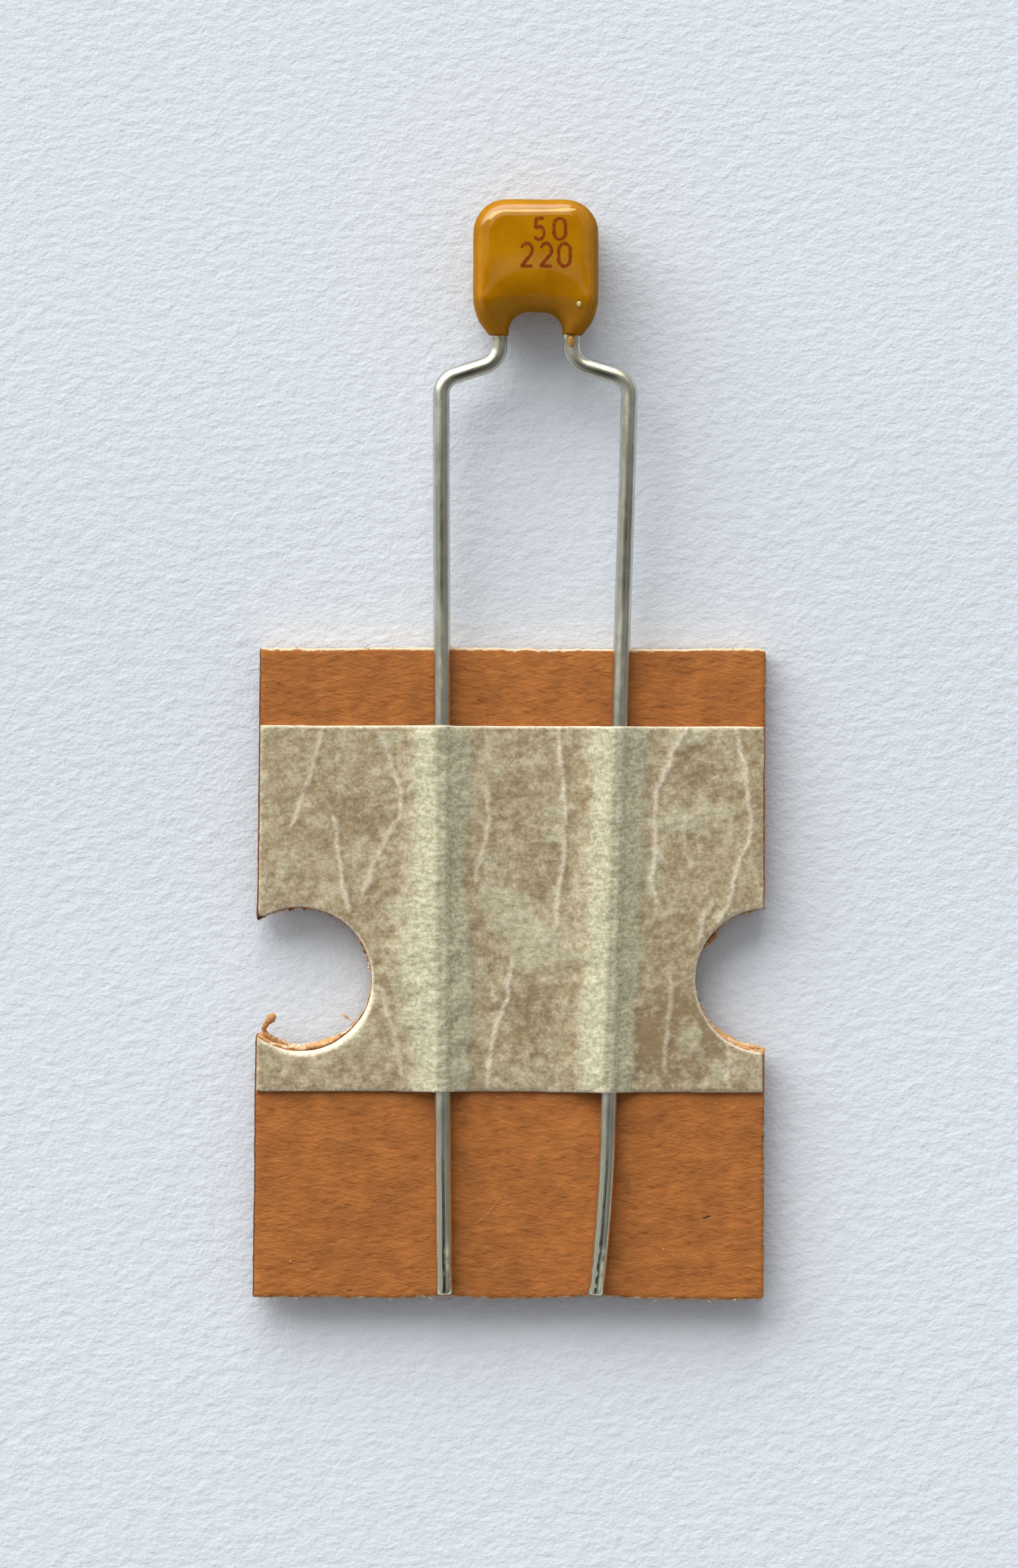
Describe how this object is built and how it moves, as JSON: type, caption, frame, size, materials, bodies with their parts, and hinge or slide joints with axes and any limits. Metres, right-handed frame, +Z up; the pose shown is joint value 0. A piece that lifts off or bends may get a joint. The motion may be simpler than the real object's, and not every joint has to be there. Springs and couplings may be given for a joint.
{
  "type": "radial ceramic capacitor",
  "caption": "Dipped radial multilayer ceramic capacitor with kinked leads, held by tape on a cut piece of carrier strip.",
  "frame": {"origin": "on the carrier strip's back face, where the line through the feed notches' centres crosses the component's centre line, midway between them", "axes": "+X along the strip, to the right with the body at the top; +Y along the leads, from the strip towards the body; +Z up, out of the strip's taped face"},
  "size_m": [0.0139, 0.0297, 0.0022],
  "materials": {
    "strip_board": "brown fibrous board, matt",
    "hold_down_paper": "creased crepe paper tape, mottled beige",
    "tinned_wire": "tin-plated, satin",
    "fired_ceramic": "unglazed",
    "electrode_metal": "fired, dull",
    "fired_silver": "fired silver, satin",
    "solder": "solder, satin",
    "dipped_epoxy": "dipped and cured, glossy ochre"
  },
  "bodies": {
    "root": {"carrier_strip": "strip_board", "hold_down_tape": "hold_down_paper", "lead_left": "tinned_wire", "lead_right": "tinned_wire", "ceramic_chip": "fired_ceramic", "electrodes_left": "electrode_metal", "electrodes_right": "electrode_metal", "termination_left": "fired_silver", "termination_right": "fired_silver", "solder_left": "solder", "solder_right": "solder", "epoxy_coating": "dipped_epoxy"}
  },
  "joints": []
}
